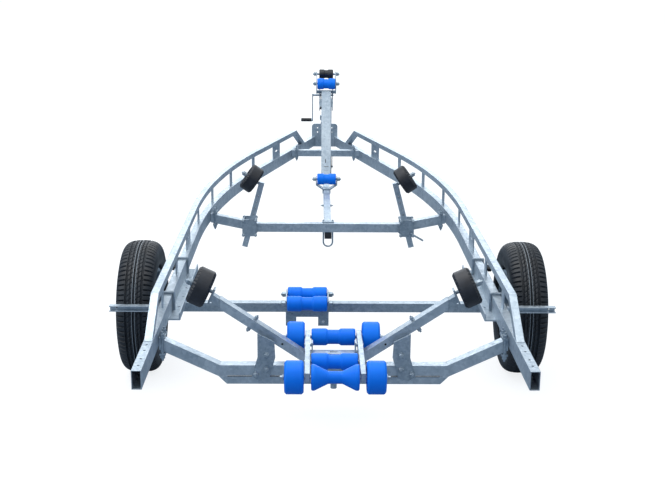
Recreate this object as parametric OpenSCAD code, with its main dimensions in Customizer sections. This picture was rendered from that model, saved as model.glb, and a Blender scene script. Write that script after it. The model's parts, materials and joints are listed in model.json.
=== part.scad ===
// Single-axle roller trailer for a boat: galvanised rails that close in to a
// drawbar, keel and side rollers, a tilting rear cradle, a winch post and a
// jockey wheel. Millimetres. X is right, Y is forward, Z is up, and the floor
// is at Z = 0 with the trailer level on its two tyres and its jockey wheel.

/* [Overall] */
// Length from the open rear ends of the rails to the nose of the coupling
overall_l = 6460; // [6300:10:6800]
// From the rear ends of the rails forward to the axle
rear_overhang = 1140; // [1050:10:1300]
// Between the middles of the two tyres
track = 1862; // [1850:2:1980]
// Height of the top of the rails
rail_top = 436; // [430:1:470]

/* [Frame] */
// Width across the outsides of the rails
frame_w = 1614; // [1560:2:1620]
// Height of a rail
rail_h = 80; // [70:1:90]
// Width of a rail
rail_w = 40; // [35:1:45]
// Wall of the rails and beams
wall = 3; // [2.5:0.5:5]
// From the axle forward to where the rails start to close in
bend_start = 1070; // [950:10:1200]
// Radius of the bend, at the middle of the rail
bend_r = 6500; // [6000:50:6800]
// Angle at which the rails run in to the nose
nose_angle = 16; // [15:0.5:17]
// From the axle forward to the nose bracket
nose_fwd = 4372; // [4200:4:4450]
// Side of the square tube of the crossbeams
beam_s = 50; // [40:1:60]

/* [Guard rails] */
// Height of the top of the guard rails
guard_top = 575; // [540:5:640]
// Side of the square guard rail
guard_s = 34; // [25:1:38]
// Distance between two rungs
rung_pitch = 530; // [480:10:560]

/* [Wheels] */
// Outside diameter of a tyre
tyre_d = 650; // [580:2:660]
// Width of a tyre
tyre_w = 178; // [155:1:185]
// Diameter of the rim where the tyre sits
rim_d = 360; // [330:2:380]
// Side of the square axle
axle_s = 45; // [40:1:50]

/* [Rollers] */
// Diameter of the four wheels of the rear cradle
cradle_wheel_d = 140; // [110:2:150]
// Width of those wheels
cradle_wheel_w = 80; // [60:2:84]
// Diameter of a plain keel roller
keel_d = 78; // [66:2:80]
// Length of a keel roller in the rear cradle
keel_l = 200; // [150:2:204]
// Diameter of the four side rollers
side_roller_d = 170; // [140:2:180]
// Width of the side rollers
side_roller_w = 80; // [60:2:84]

/* [Winch post] */
// Length of the winch post
post_l = 650; // [560:10:660]
// Width of the winch post
post_w = 72; // [66:1:80]
// How far the post leans forward
post_lean = 23; // [15:1:25]

/* [Hidden] */

zinc = [0.66, 0.72, 0.77];
zinc_dull = [0.5, 0.56, 0.61];
roller_blue = [0.02, 0.36, 0.92];
rubber = [0.09, 0.1, 0.12];

gap = 0.3;              // seam between pieces that only touch
fit = 0.05;             // radial clearance of a turning fit
$fn = 48;

// Stations along Y
rear_y = -overall_l / 2;
nose_tip_y = overall_l / 2;
axle_y = rear_y + rear_overhang;
bend_y = axle_y + bend_start;
nose_y = axle_y + nose_fwd;
rear_beam_y = axle_y - 615;
front_beam_y = axle_y + 1625;
nose_beam_y = axle_y + 3725;
v_beam_y = axle_y - 585;
front_keel_y = axle_y + 2680;
post_y = axle_y + 3100;
jockey_y = nose_tip_y - 560;

// Rails
rail_x = frame_w / 2 - rail_w / 2;
rail_in = rail_x - rail_w / 2;
rail_bottom = rail_top - rail_h;
arc_steps = 16;
arc_end_y = bend_y + bend_r * sin(nose_angle);
arc_end_x = rail_x - bend_r * (1 - cos(nose_angle));

// Beams: height of the top of the level middle part
rear_mid_top = rail_bottom - 93;
rear_end_top = rail_top - 48;
front_mid_top = rail_top - 92;
front_end_top = rail_top - 26;
rear_flat = 505;
front_flat = 450;
front_beam_h = beam_s + 5;
nose_beam_bottom = rail_top - 2 - beam_s;
bracket_bolts = [[296, rear_mid_top - 13], [344, rear_mid_top - 38]];
rail_holes = [60, 130, 225, 290];
rail_hole_r = 5.5;

// Guard rails
guard_rear_y = axle_y - 575;
guard_front_y = axle_y + 3840;
guard_reach = 235;
rung_w = 50;
rung_t = 6;
wide_rung_w = 170;
wide_rungs = [2, 7];

// Drawbar: rises from below the front crossbeam to below the nose crossbeam
drawbar_s = 45;
seat = 1.5;             // room for the slope of the drawbar under a level beam
drawbar_rear_y = front_beam_y - 15;
drawbar_z = front_mid_top - front_beam_h - seat;
drawbar_run = nose_beam_y - front_beam_y;
drawbar_slope = atan((nose_beam_bottom - seat - drawbar_z) / drawbar_run);
front_keel_up = 74;
front_keel_l = 136;
socket_r = 25.5;
socket_y = nose_tip_y - 38;

// V beam and cradle
v_h = 40;
v_d = 50;
v_top = rear_mid_top + 44;
v_flat = 130;
v_angle = 34;
v_arm_end = 500;
v_tube_end = 532;
v_mid_z = v_top - v_h / 2;
rear_spindle_x = 530;
rear_reach = 58;
side_tilt_rear = 25;
pivot_z = v_top + 33;
cradle_bar_x = 116;
cradle_bar_w = 22;
cradle_bar_h = 40;
cradle_front_y = v_beam_y + 125;
cradle_mid_y = v_beam_y - 185;
cradle_rear_y = v_beam_y - 363;
cradle_axle_z = pivot_z - 8;
cradle_wheel_x = cradle_bar_x + cradle_bar_w / 2 + 3 + cradle_wheel_w / 2;
spindle_r = 8;

// Wheels
wheel_z = tyre_d / 2;
stub_r = 17.5;
hub_r = 40;
plate_rear = axle_y - 285;
plate_l = 825;
ubolt_ys = [axle_y - 150, axle_y + 455];
ubolt_r = 6;
stay_tip_x = 1030;
stay_offset = 355;

// Side posts
side_post_s = 35;
side_post_lean = 15;
side_post_x = 498;
side_post_z = front_mid_top - 27;
side_post_up = 310;
side_post_down = 120;
side_tilt_front = 35;
front_reach = 71;

// Winch and bow, in the frame of the leaning post
winch_up = 595;
drum_out = post_w / 2 + 60;
crank_up = 60;
crank_arm = 195;
crank_out = 105;
bow_up = 705;
bow_back = 45;
bow_stop_up = 808;
bow_stop_out = 40;
bow_plate_x = 74;

// Mid keel unit
mid_x = -122;
mid_roller_l = 196;
mid_front_y = axle_y + 78;
mid_rear_y = axle_y - 72;
mid_roller_z = 362;

// Jockey wheel
jockey_x = 46;
jockey_wheel_d = 200;
jockey_wheel_w = 44;
jockey_trail = 35;
jockey_tube_r = 19;
jockey_tube_wall = 2.5;
jockey_tube_z = 330;
jockey_top_z = 660;
jockey_pin_r = 10;
jockey_leg_r = jockey_tube_r - jockey_tube_wall - fit;
jockey_crown_z = jockey_wheel_d + 10;

// ---------- Helpers ----------

// Middle line of the right rail at station y
function rail_line_x(y) =
    y <= bend_y ? rail_x :
    y <= arc_end_y ? rail_x - bend_r * (1 - cos(asin((y - bend_y) / bend_r))) :
    arc_end_x - (y - arc_end_y) * tan(nose_angle);

// Direction of the right rail at station y, as degrees turned inward
function rail_line_angle(y) =
    y <= bend_y ? 0 :
    y <= arc_end_y ? asin((y - bend_y) / bend_r) :
    nose_angle;

// One side of the rail's outline, offset outward by d, from y0 to y1
function rail_side(y0, y1, d) =
    let (arc = [for (i = [0:arc_steps]) let (a = nose_angle * i / arc_steps)
            [rail_x + (bend_r + d) * cos(a) - bend_r, bend_y + (bend_r + d) * sin(a)]])
    concat([[rail_x + d, y0]],
        arc,
        [[arc_end_x + d * cos(nose_angle) - (y1 - arc_end_y) * tan(nose_angle),
            y1 + d * sin(nose_angle)]]);

function reversed(list) = [for (i = [len(list) - 1:-1:0]) list[i]];

// Plan of a bar of width w that follows the right rail from y0 to y1
module rail_plan(w, y0, y1) {
    polygon(concat(rail_side(y0, y1, w / 2), reversed(rail_side(y0, y1, -w / 2))));
}

// Solid bar that follows the right rail
module rail_bar(w, h, z, y0, y1) {
    translate([0, 0, z]) linear_extrude(height = h) rail_plan(w, y0, y1);
}

// Outline of a bent beam in the XZ plane: level to x1, then rising at angle a
// to x2. z is the middle of the level part and t is the thickness.
function bent_outline(x1, x2, z, a, t) =
    let (k = t / 2 * tan(a / 2), v = t / 2 / cos(a), rise = (x2 - x1) * tan(a))
    [[-x2, z + rise - v], [-x1 - k, z - t / 2], [x1 + k, z - t / 2], [x2, z + rise - v],
        [x2, z + rise + v], [x1 - k, z + t / 2], [-x1 + k, z + t / 2], [-x2, z + rise + v]];

// Hollow bent beam, depth d along Y, middle at y
module bent_beam(x1, x2, z, a, t, y, d) {
    translate([0, y + d / 2, 0]) rotate([90, 0, 0])
        linear_extrude(height = d) polygon(bent_outline(x1, x2, z, a, t));
}

module both_sides() {
    children();
    mirror([1, 0, 0]) children();
}

// Cylinder along X, centred
module rod_x(r, l, n = 48) {
    rotate([0, 90, 0]) cylinder(h = l, r = r, center = true, $fn = n);
}

// Slot along Y cut through along X, l between the middles of its round ends
module slot_x(r, l, depth) {
    cube([depth, l, 2 * r], center = true);
    for (s = [-1, 1]) translate([0, s * l / 2, 0]) rod_x(r, depth);
}

// Cylinder along Y, centred
module rod_y(r, l) {
    rotate([90, 0, 0]) cylinder(h = l, r = r, center = true);
}

// Ring turned about X from an outline of [radius, x] points
module turned_x(outline, n = 64) {
    rotate([0, 90, 0]) rotate_extrude($fn = n) polygon(outline);
}

// Round U-bolt over a bar of width w: legs from z0 up to z1, in the XZ plane
module u_bolt(w, r, z0, z1) {
    for (s = [-1, 1]) translate([s * (w / 2 + r), 0, z0]) cylinder(h = z1 - z0, r = r);
    translate([0, 0, z1]) rotate([90, 0, 0])
        rotate_extrude(angle = 180, $fn = 48) translate([w / 2 + r, 0]) circle(r = r);
}

// Local frame on top of the drawbar at station y: Z is up from its top face
module on_drawbar(y) {
    translate([0, y, drawbar_z + (y - front_beam_y) * tan(drawbar_slope)])
        rotate([drawbar_slope, 0, 0]) children();
}

function drawbar_top(y) = drawbar_z + (y - front_beam_y) * tan(drawbar_slope);

// Local frame of the winch post: Z runs up the leaning post, Y points forward
module on_post() {
    translate([0, post_y, drawbar_top(post_y)]) rotate([-post_lean, 0, 0]) children();
}

// ---------- Frame ----------

module right_rail() {
    difference() {
        intersection() {
            rail_bar(rail_w, rail_h, rail_bottom, rear_y, nose_y + 200);
            translate([-frame_w, rear_y, 0])
                cube([2 * frame_w, nose_y - gap - rear_y, rail_top + 10]);
        }
        rail_bar(rail_w - 2 * wall, rail_h - 2 * wall, rail_bottom + wall, rear_y - 10, nose_y + 300);
        for (d = rail_holes) translate([rail_x, rear_y + d, rail_top - wall / 2])
            cylinder(h = 3 * wall, r = rail_hole_r, center = true);
    }
}

module rail_left() {
    color(zinc) mirror([1, 0, 0]) right_rail();
}

module rail_right() {
    color(zinc) right_rail();
}

// Side view of the guard rail: the line d below its top, down to drop at both feet
function guard_edge(d, drop) =
    let (h = guard_top - rail_top - gap,
        a = atan(h / guard_reach),
        b = atan(h / (guard_reach * cos(nose_angle))))
    [[guard_rear_y - drop / tan(a) + d / sin(a), -drop], [guard_rear_y + d * tan(a / 2), -d],
        [guard_front_y - d * tan(b / 2), -d], [guard_front_y + drop / tan(b) - d / sin(b), -drop]];

// Guard rail: a bar along the right rail cut to its side view. The inset draws
// its bore, which runs on below the feet.
module guard_tube(inset, below) {
    drop = guard_top - rail_top - gap + below;
    intersection() {
        rail_bar(guard_s - 2 * inset, 300, guard_top - 250, guard_rear_y - 400, guard_front_y + 400);
        translate([0, 0, guard_top]) rotate([90, 0, 90]) linear_extrude(height = frame_w)
            polygon(concat(guard_edge(inset, drop), reversed(guard_edge(guard_s - inset, drop))));
    }
}

module right_guard_rail() {
    rung_top = guard_top - guard_s + 1;
    difference() {
        guard_tube(0, 0);
        guard_tube(wall, 6);
    }
    for (i = [0:7]) {
        y = axle_y - 340 + i * rung_pitch;
        wide = len(search(i, wide_rungs)) > 0;
        translate([rail_line_x(y), y, (rail_top + gap + rung_top) / 2])
            rotate([0, 0, rail_line_angle(y)]) difference() {
                cube([rung_t, wide ? wide_rung_w : rung_w, rung_top - rail_top - gap], center = true);
                if (wide) slot_x(6.5, 50, 30);
            }
    }
}

module guard_rail_left() {
    color(zinc) mirror([1, 0, 0]) right_guard_rail();
}

module guard_rail_right() {
    color(zinc) right_guard_rail();
}

// Room that the two rails take, for trimming what runs between them
module rail_room() {
    both_sides() rail_bar(rail_w + 2 * gap, rail_h + 40, rail_bottom - 20, rear_y - 50, nose_y + 200);
}

module rear_crossbeam() {
    z = rear_mid_top - beam_s / 2;
    rise = atan((rear_end_top - rear_mid_top) / (rail_in - rear_flat));
    color(zinc) difference() {
        bent_beam(rear_flat, rail_in - gap, z, rise, beam_s, rear_beam_y, beam_s);
        bent_beam(rear_flat, rail_in + 10, z, rise, beam_s - 2 * wall, rear_beam_y, beam_s - 2 * wall);
        both_sides() for (p = bracket_bolts)
            translate([p[0], rear_beam_y, p[1]]) rod_y(6, beam_s + 10);
    }
}

module rear_stiffener() {
    z0 = rear_mid_top - beam_s - gap;
    color(zinc) difference() {
        translate([0, rear_beam_y + beam_s / 2, 0]) rotate([90, 0, 0])
            linear_extrude(height = beam_s)
                polygon([[-rear_flat - 5, z0], [-rear_flat + 32, z0 - 37], [rear_flat - 32, z0 - 37],
                    [rear_flat + 5, z0]]);
        translate([0, rear_beam_y, z0 - 18.5])
            cube([2 * rear_flat - 90, beam_s - 2 * wall, 37 - 2 * wall], center = true);
    }
    color(zinc) translate([0, rear_beam_y, z0 - 37 - 28]) difference() {
        cylinder(h = 29, r = 14);
        translate([0, 0, -1]) cylinder(h = 28, r = 11);
    }
}

module front_crossbeam() {
    z = front_mid_top - front_beam_h / 2;
    rise = atan((front_end_top - front_mid_top) / (rail_in - front_flat));
    color(zinc) difference() {
        bent_beam(front_flat, rail_in, z, rise, front_beam_h, front_beam_y, beam_s);
        bent_beam(front_flat, rail_in + 10, z, rise, front_beam_h - 2 * wall, front_beam_y,
            beam_s - 2 * wall);
        rail_room();
    }
}

module nose_crossbeam() {
    span = 2 * rail_line_x(nose_beam_y);
    bore = beam_s - 2 * wall;
    color(zinc) difference() {
        translate([0, nose_beam_y, nose_beam_bottom + beam_s / 2]) difference() {
            cube([span, beam_s, beam_s], center = true);
            cube([span + 10, bore, bore], center = true);
        }
        rail_room();
    }
}

module nose_bracket() {
    half = 112;
    top = rail_top + 112;
    bottom = rail_bottom - 10;
    corner = 28;
    t = 8;
    color(zinc_dull) difference() {
        union() {
            translate([0, nose_y + t, 0]) rotate([90, 0, 0]) linear_extrude(height = t) union() {
                translate([-half, bottom]) square([2 * half, top - bottom - corner]);
                translate([-half + corner, bottom]) square([2 * (half - corner), top - bottom]);
                for (s = [-1, 1]) translate([s * (half - corner), top - corner]) circle(r = corner);
            }
            for (s = [-1, 1]) translate([s * (half - t / 2), nose_y + 60, (bottom + rail_top) / 2])
                cube([t, 110, rail_top - bottom], center = true);
        }
        // the drawbar passes through, and the ears stand apart above it
        on_drawbar(nose_y) translate([0, 0, -drawbar_s / 2])
            cube([drawbar_s + 2 * gap, 60, drawbar_s + 2 * gap], center = true);
        translate([-26, nose_y - 1, rail_top + 20]) cube([52, t + 2, 200]);
        for (s = [-1, 1]) for (z = [38, 76])
            translate([s * 62, nose_y + t / 2, rail_top + z]) rod_y(5.5, 30);
    }
}

module drawbar() {
    l = (nose_tip_y - 110 - drawbar_rear_y) / cos(drawbar_slope);
    color(zinc) on_drawbar(drawbar_rear_y) difference() {
        translate([-drawbar_s / 2, 0, -drawbar_s]) cube([drawbar_s, l, drawbar_s]);
        translate([-drawbar_s / 2 + wall + 1, 12, -drawbar_s + wall + 1])
            cube([drawbar_s - 2 * wall - 2, l, drawbar_s - 2 * wall - 2]);
        for (d = [700, 1000, 1500]) translate([0, d, -drawbar_s / 2]) rod_x(6, 80);
    }
}

module drawbar_cap() {
    color(rubber) on_drawbar(drawbar_rear_y) translate([0, -2 - gap, -drawbar_s / 2])
        cube([drawbar_s - 3, 4, drawbar_s - 3], center = true);
}

// Long U-bolt ahead of the front crossbeam, under a plate that rests on the beam
module drawbar_ubolt() {
    r = 5;
    y = front_beam_y + beam_s / 2 + r + 3;
    plate_z = front_mid_top + gap;
    color(zinc_dull) {
        translate([0, y, plate_z + 12]) rotate([180, 0, 0]) u_bolt(drawbar_s + 4, r, 0, 146);
        translate([-37, y - 34, plate_z]) cube([74, 44, 6]);
    }
}

// Ball coupling: a pressed body over the drawbar with a socket for a 50 mm ball
module coupling_head() {
    sleeve = drawbar_s + 14;
    bore = drawbar_s + 2 * gap;
    z = drawbar_top(socket_y) - 10;
    h = 44;
    color(zinc_dull) difference() {
        union() {
            on_drawbar(nose_tip_y - 238) translate([-sleeve / 2, 0, -drawbar_s - 7])
                cube([sleeve, 142, sleeve]);
            translate([0, socket_y, z]) cylinder(h = h, r = 38);
            translate([0, socket_y, z + h]) sphere(r = 20);
            translate([-29, socket_y - 60, z]) cube([58, 60, h]);
        }
        on_drawbar(nose_tip_y - 320) translate([-bore / 2, 0, -drawbar_s - gap])
            cube([bore, 216, bore]);
        translate([0, socket_y, z + 12]) sphere(r = socket_r, $fn = 64);
        translate([0, socket_y, z - 1]) cylinder(h = 13, r = socket_r);
    }
}

module coupling_handle() {
    color(zinc_dull) on_drawbar(nose_tip_y - 142) translate([0, 0, 7 + gap]) {
        for (x = [-18, 12]) translate([x, -20, 0]) cube([6, 60, 36]);
        translate([-18, -120, 28]) cube([36, 160, 8]);
        translate([0, -120, 32]) rod_x(10, 60);
    }
}

module axle_beam() {
    stub_out = track / 2 + 45;
    half = frame_w / 2 - 10;
    bore = axle_s - 2 * wall - 2;
    color(zinc_dull) translate([0, axle_y, wheel_z]) difference() {
        union() {
            cube([2 * half, axle_s, axle_s], center = true);
            rod_x(stub_r, 2 * stub_out);
        }
        cube([2 * half - 160, bore, bore], center = true);
    }
}

// Long plates between the axle and the rails, each with a lip at its inner edge
module axle_plates() {
    t = rail_bottom - wheel_z - axle_s / 2 - 2 * gap;
    z = rail_bottom - gap - t;
    inner = rail_in - 51;
    color(zinc) both_sides() difference() {
        union() {
            translate([inner, plate_rear, z]) cube([rail_w + 67, plate_l, t]);
            translate([inner, plate_rear, z]) cube([6, plate_l, t + 28]);
        }
        for (y = ubolt_ys) for (s = [-1, 1])
            translate([rail_x + s * ubolt_x(), y, z - 1]) cylinder(h = 60, r = ubolt_r + 2 * fit);
        for (d = [184, 336, 488])
            translate([rail_in - 24, plate_rear + d, z - 1]) cylinder(h = 60, r = 6);
    }
}

// From the middle of the rail to the legs of its U-bolts
function ubolt_x() = rail_w / 2 + gap + ubolt_r;

// Square U-bolts over the rails: two legs, a bar across and round corners
module axle_ubolts() {
    bar_z = rail_top + gap + ubolt_r;
    leg_z = rail_bottom - 40;
    color(zinc_dull) both_sides() for (y = ubolt_ys) translate([rail_x, y, 0]) {
        for (s = [-1, 1]) translate([s * ubolt_x(), 0, 0]) {
            translate([0, 0, leg_z]) cylinder(h = bar_z - leg_z, r = ubolt_r);
            translate([0, 0, bar_z]) sphere(r = ubolt_r);
        }
        translate([0, 0, bar_z]) rod_x(ubolt_r, 2 * ubolt_x());
    }
}

// Clamp of a crossbeam's end: studs beside the beam through a top and a bottom plate
module clamp(x, y, z0, z1, half_d) {
    for (s = [-1, 1]) translate([x, y + s * (half_d + 7), z0 - 14])
        cylinder(h = z1 - z0 + 28, r = 5.5);
    for (z = [z0 - 8 - gap, z1 + gap]) translate([x - 13, y - half_d - 16, z])
        cube([26, 2 * half_d + 32, 8]);
}

module beam_clamps() {
    x_rear = rail_in - 16;
    rear_z = rear_end_top - beam_s * 0.9 - 10;
    x_front = rail_line_x(front_beam_y + 30) - rail_w / 2 - 24;
    x_nose = rail_line_x(nose_beam_y + 30) - rail_w / 2 - 26;
    color(zinc_dull) both_sides() {
        clamp(x_rear, rear_beam_y, rear_z - 12, rear_end_top + 1, beam_s / 2);
        clamp(x_front, front_beam_y, front_end_top - front_beam_h - 14, front_end_top, beam_s / 2);
        clamp(x_nose, nose_beam_y, nose_beam_bottom, nose_beam_bottom + beam_s, beam_s / 2);
    }
}

// Short channels that stand out from the rails and open away from the wheel
module mudguard_stays() {
    l = stay_tip_x - frame_w / 2;
    color(zinc) both_sides() for (s = [-1, 1])
        translate([frame_w / 2 + gap, axle_y + s * stay_offset, rail_top - 18]) difference() {
            translate([0, -15, 0]) cube([l, 30, 27]);
            translate([6, s * 4 - 15, 4]) cube([l, 30, 19]);
            translate([l - 30, 0, 13.5]) rod_y(5.5, 60);
        }
}

// ---------- Winch post, winch and bow rollers ----------

module winch_post() {
    bore = post_w - 2 * wall - 2;
    cheek = drawbar_s / 2 + gap + 8;
    color(zinc) on_post() difference() {
        union() {
            translate([-post_w / 2, -post_w / 2, 0]) cube([post_w, post_w, post_l]);
            translate([-cheek, -45, -40]) cube([2 * cheek, 90, 60]);
        }
        translate([-bore / 2, -bore / 2, 32]) cube([bore, bore, post_l]);
        // the foot sits on the drawbar and its cheeks stand beside it
        rotate([post_lean + drawbar_slope, 0, 0]) {
            translate([-drawbar_s / 2 - gap, -200, -100 + gap])
                cube([drawbar_s + 2 * gap, 400, 100]);
            translate([-100, -200, -140]) cube([200, 400, 100]);
        }
    }
}

module winch_frame() {
    color(zinc_dull) on_post() difference() {
        union() {
            for (s = [-1, 1]) translate([s * 50 - 3, post_w / 2 + gap, winch_up - 55]) cube([6, 100, 145]);
            translate([-53, post_w / 2 + gap, winch_up - 50]) cube([106, 6, 60]);
            translate([0, drum_out, winch_up]) rod_x(9, 110);
        }
        translate([0, drum_out, winch_up + crank_up]) rod_x(8 + fit, 200);
    }
}

module winch_drum() {
    color(zinc_dull) on_post() translate([0, drum_out, winch_up]) difference() {
        union() {
            rod_x(18, 84);
            for (s = [-1, 1]) translate([s * 41, 0, 0]) rod_x(s < 0 ? 47 : 40, 5);
        }
        rod_x(9 + fit, 100);
    }
}

module winch_crank() {
    reach = crank_out + 4;
    color(zinc_dull) on_post() translate([0, drum_out, winch_up + crank_up]) {
        translate([(58 - reach) / 2, 0, 0]) rod_x(8, 58 + reach);
        translate([-41, 0, 0]) rod_x(12, 5);
        rotate([post_lean, 0, 0]) {
            translate([-crank_out, 0, -crank_arm / 2]) cube([8, 20, crank_arm + 20], center = true);
            translate([-crank_out - 45, 0, -crank_arm]) rod_x(6, 92);
            translate([-crank_out - 47, 0, -crank_arm]) rod_x(13, 84);
        }
    }
}

module bow_bracket() {
    foot_z = post_l + gap;
    plate = [[-40, foot_z], [40, foot_z], [bow_stop_out + 22, bow_stop_up],
        [bow_stop_out + 10, bow_stop_up + 24], [bow_stop_out - 20, bow_stop_up + 14],
        [-bow_back - 26, bow_up + 16], [-bow_back - 22, bow_up - 26]];
    color(zinc_dull) on_post() {
        for (s = [-1, 1]) translate([s * bow_plate_x - 3, 0, 0])
            rotate([90, 0, 90]) linear_extrude(height = 6) polygon(plate);
        translate([-bow_plate_x, -40, foot_z]) cube([2 * bow_plate_x, 40 + post_w / 2, 6]);
        for (p = [[-bow_back, bow_up], [bow_stop_out, bow_stop_up]])
            translate([0, p[0], p[1]]) rod_x(spindle_r, 2 * bow_plate_x + 20);
    }
}

// Roller about X: waisted to neck_r in the middle, with rounded ends
module waisted_roller(r, neck_r, l, bore_r) {
    b = 6;
    difference() {
        turned_x([[0, -l / 2], [r - b, -l / 2], [r, -l / 2 + b], [r, -l / 6], [neck_r, -l / 6 + 8],
            [neck_r, l / 6 - 8], [r, l / 6], [r, l / 2 - b], [r - b, l / 2], [0, l / 2]]);
        rod_x(bore_r, l + 10);
    }
}

module bow_roller() {
    color(roller_blue) on_post() translate([0, -bow_back, bow_up])
        waisted_roller(42, 36, 138, spindle_r + fit);
}

module bow_stop_roller() {
    color(rubber) on_post() translate([0, bow_stop_out, bow_stop_up])
        waisted_roller(36, 31, 108, spindle_r + fit);
}

// ---------- Front keel roller ----------

module front_keel_bracket() {
    out = front_keel_l / 2 + 10;
    color(zinc_dull) on_drawbar(front_keel_y) union() {
        rotate([90, 0, 0]) linear_extrude(height = 56, center = true)
            polygon([[-out, front_keel_up + 16], [-out, 34], [-30, gap], [30, gap], [out, 34],
                [out, front_keel_up + 16], [out - 7, front_keel_up + 16], [out - 7, 37], [27, 8],
                [-27, 8], [-out + 7, 37], [-out + 7, front_keel_up + 16]]);
        translate([0, 0, front_keel_up]) rod_x(spindle_r, 2 * out + 14);
        for (s = [-1, 1]) translate([s * (drawbar_s / 2 + gap + 3) - 3, -20, -30]) cube([6, 40, 34]);
    }
}

module front_keel_roller() {
    color(roller_blue) on_drawbar(front_keel_y) translate([0, 0, front_keel_up])
        waisted_roller(40, 35, front_keel_l, spindle_r + fit);
}

// ---------- Side rollers ----------

// Spindle of a side roller along +X, with the washer that keeps the roller on
module side_spindle(reach) {
    rotate([0, 90, 0]) cylinder(h = reach + side_roller_w / 2 + 8, r = spindle_r);
    translate([reach + side_roller_w / 2 + 2, 0, 0]) rotate([0, 90, 0]) cylinder(h = 5, r = 14);
}

// Solid rubber side roller about X, with a dished hub each side
module side_roller() {
    r = side_roller_d / 2;
    w = side_roller_w / 2;
    difference() {
        turned_x([[0, -w + 6], [r - 30, -w + 6], [r - 26, -w], [r - 10, -w], [r, -w + 12],
            [r, w - 12], [r - 10, w], [r - 26, w], [r - 30, w - 6], [0, w - 6]]);
        rod_x(spindle_r + fit, 4 * w);
    }
}

module on_right_post() {
    translate([side_post_x, front_beam_y - beam_s / 2 - gap - side_post_s / 2, side_post_z])
        rotate([0, -side_post_lean, 0]) children();
}

module on_right_front_spindle() {
    on_right_post() translate([0, 0, side_post_up - 20]) rotate([0, side_post_lean - side_tilt_front, 0])
        children();
}

module right_side_post() {
    s = side_post_s;
    difference() {
        union() {
            on_right_post() translate([-s / 2, -s / 2, -side_post_down])
                cube([s, s, side_post_up + side_post_down]);
            on_right_front_spindle() side_spindle(front_reach);
        }
        on_right_post() translate([-s / 2 + wall, -s / 2 + wall, -side_post_down - 1])
            cube([s - 2 * wall, s - 2 * wall, side_post_down + side_post_up - 45]);
        for (z = [60:40:220]) on_right_post() translate([0, 0, z]) rod_y(5, 60);
    }
}

module side_post_left() {
    color(zinc) mirror([1, 0, 0]) right_side_post();
}

module side_post_right() {
    color(zinc) right_side_post();
}

// Plates before and behind the front crossbeam that hold a side post, four studs
// each; the right pair has a locking lever
module side_post_clamps() {
    y_back = front_beam_y - beam_s / 2 - 2 * gap - side_post_s;
    y_front = front_beam_y + beam_s / 2 + gap;
    stud_r = 5;
    color(zinc_dull) {
        both_sides() for (y = [y_back - 8, y_front])
            translate([side_post_x - 45, y, side_post_z - 46]) cube([90, 8, 110]);
        both_sides() for (x = [-38.5, 38.5]) for (z = [-37, 54])
            translate([side_post_x + x, (y_back + y_front) / 2, side_post_z + z])
                rod_y(stud_r, y_front - y_back + 34);
        translate([side_post_x + 22, y_back - 14, side_post_z - 20]) rotate([0, 120, 0])
            cylinder(h = 95, r = 6);
    }
}

module front_side_roller_left() {
    color(rubber) mirror([1, 0, 0]) on_right_front_spindle() translate([front_reach, 0, 0]) side_roller();
}

module front_side_roller_right() {
    color(rubber) on_right_front_spindle() translate([front_reach, 0, 0]) side_roller();
}

// ---------- V beam at the rear ----------

// Frame of the right arm: X runs up along its middle line
module on_right_arm() {
    translate([v_flat, v_beam_y, v_mid_z]) rotate([0, -v_angle, 0]) children();
}

module on_right_rear_spindle() {
    translate([rear_spindle_x, v_beam_y, v_mid_z + (rear_spindle_x - v_flat) * tan(v_angle) + 26])
        rotate([0, -side_tilt_rear, 0]) children();
}

module v_beam() {
    lug_x = cradle_bar_x - cradle_bar_w / 2 - 9;
    color(zinc) difference() {
        union() {
            difference() {
                bent_beam(v_flat, v_arm_end, v_mid_z, v_angle, v_h, v_beam_y, v_d);
                bent_beam(v_flat, v_arm_end + 20, v_mid_z, v_angle, v_h - 2 * wall, v_beam_y, v_d - 2 * wall);
            }
            both_sides() {
                translate([lug_x - 3, v_beam_y - 20, v_top - 1]) cube([6, 40, pivot_z - v_top + 17]);
                translate([(lug_x + cradle_bar_x + cradle_bar_w / 2) / 2, v_beam_y, pivot_z])
                    rod_x(spindle_r, cradle_bar_x + cradle_bar_w / 2 - lug_x + 8);
            }
        }
        translate([0, v_beam_y, v_top]) cube([34, 9, 3 * wall], center = true);
    }
}

module right_arm_extension() {
    t = wall + 0.5;
    union() {
        on_right_arm() difference() {
            translate([290, -v_d / 2 + t, -v_h / 2 + t])
                cube([(v_tube_end + 8 - v_flat) / cos(v_angle) - 290, v_d - 2 * t, v_h - 2 * t]);
            translate([280, -v_d / 2 + 2 * t, -v_h / 2 + 2 * t]) cube([150, v_d - 4 * t, v_h - 4 * t]);
        }
        on_right_rear_spindle() {
            translate([-4, -22, -50]) cube([8, 44, 70]);
            side_spindle(rear_reach);
        }
    }
}

module arm_extension_left() {
    color(zinc_dull) mirror([1, 0, 0]) right_arm_extension();
}

module arm_extension_right() {
    color(zinc_dull) right_arm_extension();
}

module rear_side_roller_left() {
    color(rubber) mirror([1, 0, 0]) on_right_rear_spindle() translate([rear_reach, 0, 0]) side_roller();
}

module rear_side_roller_right() {
    color(rubber) on_right_rear_spindle() translate([rear_reach, 0, 0]) side_roller();
}

module v_beam_brackets() {
    y = rear_beam_y - beam_s / 2 - gap;
    back = v_beam_y - v_d / 2 - gap;
    color(zinc_dull) both_sides() difference() {
        union() {
            translate([0, y, 0]) rotate([90, 0, 0]) linear_extrude(height = 8)
                polygon([[262, rear_mid_top + 112], [258, rear_mid_top + 40], [284, rear_mid_top - 52],
                    [330, rear_mid_top - 70], [362, rear_mid_top - 48], [336, rear_mid_top + 40],
                    [336, rear_mid_top + 150], [300, rear_mid_top + 132]]);
            translate([272, y - 1, rear_mid_top + 4]) cube([58, back - y + 1, 100]);
        }
        for (p = bracket_bolts) translate([p[0], y, p[1]]) rod_y(6, 40);
    }
}

// ---------- Tilting cradle ----------

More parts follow.
